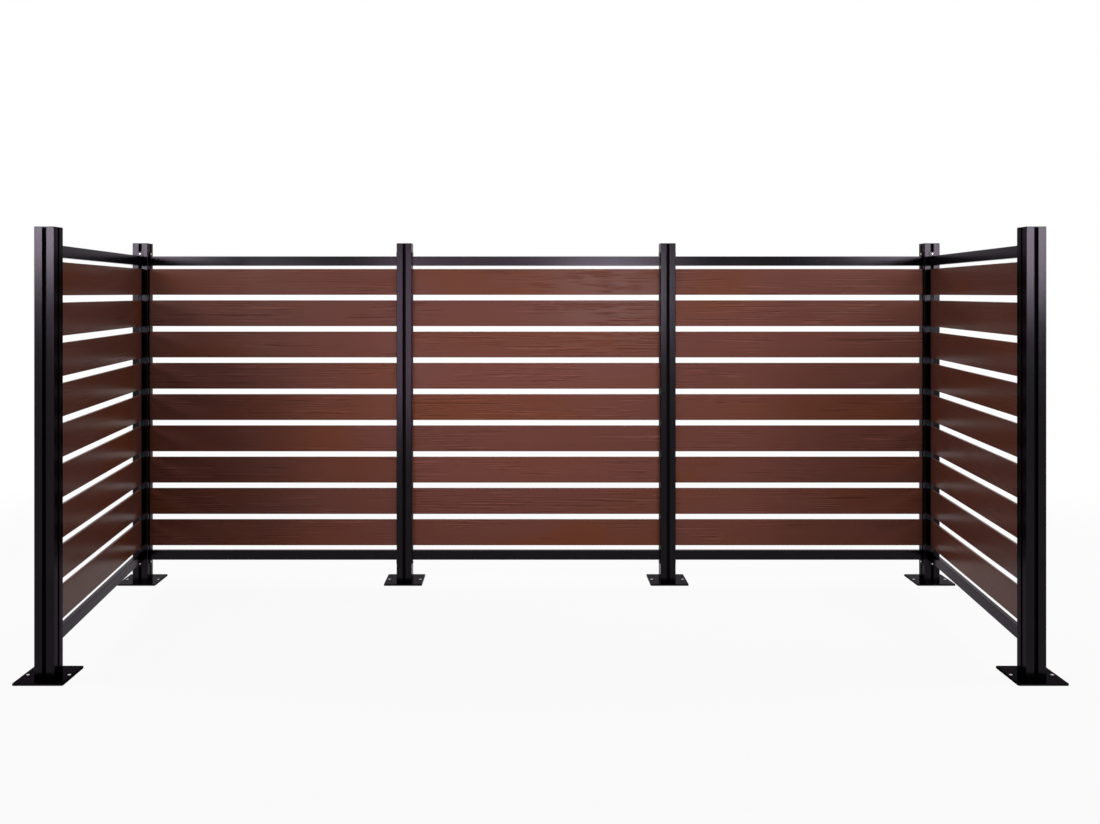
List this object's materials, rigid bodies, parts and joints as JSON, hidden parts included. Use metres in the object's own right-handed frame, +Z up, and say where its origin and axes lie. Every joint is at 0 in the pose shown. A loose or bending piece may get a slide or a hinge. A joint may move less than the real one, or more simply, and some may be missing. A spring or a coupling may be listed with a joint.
{
  "type": "garden privacy screen",
  "caption": "Free-standing U-shaped garden privacy screen: grooved dark square posts on base plates hold panels of wood-look horizontal slats between dark rails.",
  "frame": {"origin": "on the ground, at the middle of the bounding box", "axes": "+X to the right along the back row of posts, +Y from the open front towards the back, +Z up"},
  "size_m": [4.4, 1.5934, 1.8],
  "materials": {
    "post": "satin dark bronze powder coat on aluminium extrusion",
    "cap": "satin dark bronze",
    "rail": "satin dark bronze powder coat",
    "plate": "glossy black powder coat on steel plate",
    "slat": "mahogany wood-look composite with an embossed grain, satin"
  },
  "bodies": {
    "root": {"base_plate_left_corner": "plate", "post_left_corner": "post", "post_cap_left_corner": "cap", "base_plate_back_left": "plate", "post_back_left": "post", "post_cap_back_left": "cap", "base_plate_back_right": "plate", "post_back_right": "post", "post_cap_back_right": "cap", "base_plate_right_corner": "plate", "post_right_corner": "post", "post_cap_right_corner": "cap", "base_plate_left_front": "plate", "post_left_front": "post", "post_cap_left_front": "cap", "base_plate_right_front": "plate", "post_right_front": "post", "post_cap_right_front": "cap", "back_left_top_rail": "rail", "back_left_slat_1": "slat", "back_left_slat_2": "slat", "back_left_slat_3": "slat", "back_left_slat_4": "slat", "back_left_slat_5": "slat", "back_left_slat_6": "slat", "back_left_slat_7": "slat", "back_left_slat_8": "slat", "back_left_slat_9": "slat", "back_left_bottom_rail": "rail", "back_middle_top_rail": "rail", "back_middle_slat_1": "slat", "back_middle_slat_2": "slat", "back_middle_slat_3": "slat", "back_middle_slat_4": "slat", "back_middle_slat_5": "slat", "back_middle_slat_6": "slat", "back_middle_slat_7": "slat", "back_middle_slat_8": "slat", "back_middle_slat_9": "slat", "back_middle_bottom_rail": "rail", "back_right_top_rail": "rail", "back_right_slat_1": "slat", "back_right_slat_2": "slat", "back_right_slat_3": "slat", "back_right_slat_4": "slat", "back_right_slat_5": "slat", "back_right_slat_6": "slat", "back_right_slat_7": "slat", "back_right_slat_8": "slat", "back_right_slat_9": "slat", "back_right_bottom_rail": "rail", "left_wing_top_rail": "rail", "left_wing_upper_slats": "slat", "left_wing_lower_slats": "slat", "left_wing_bottom_rail": "rail", "right_wing_top_rail": "rail", "right_wing_upper_slats": "slat", "right_wing_lower_slats": "slat", "right_wing_bottom_rail": "rail"}
  },
  "joints": []
}
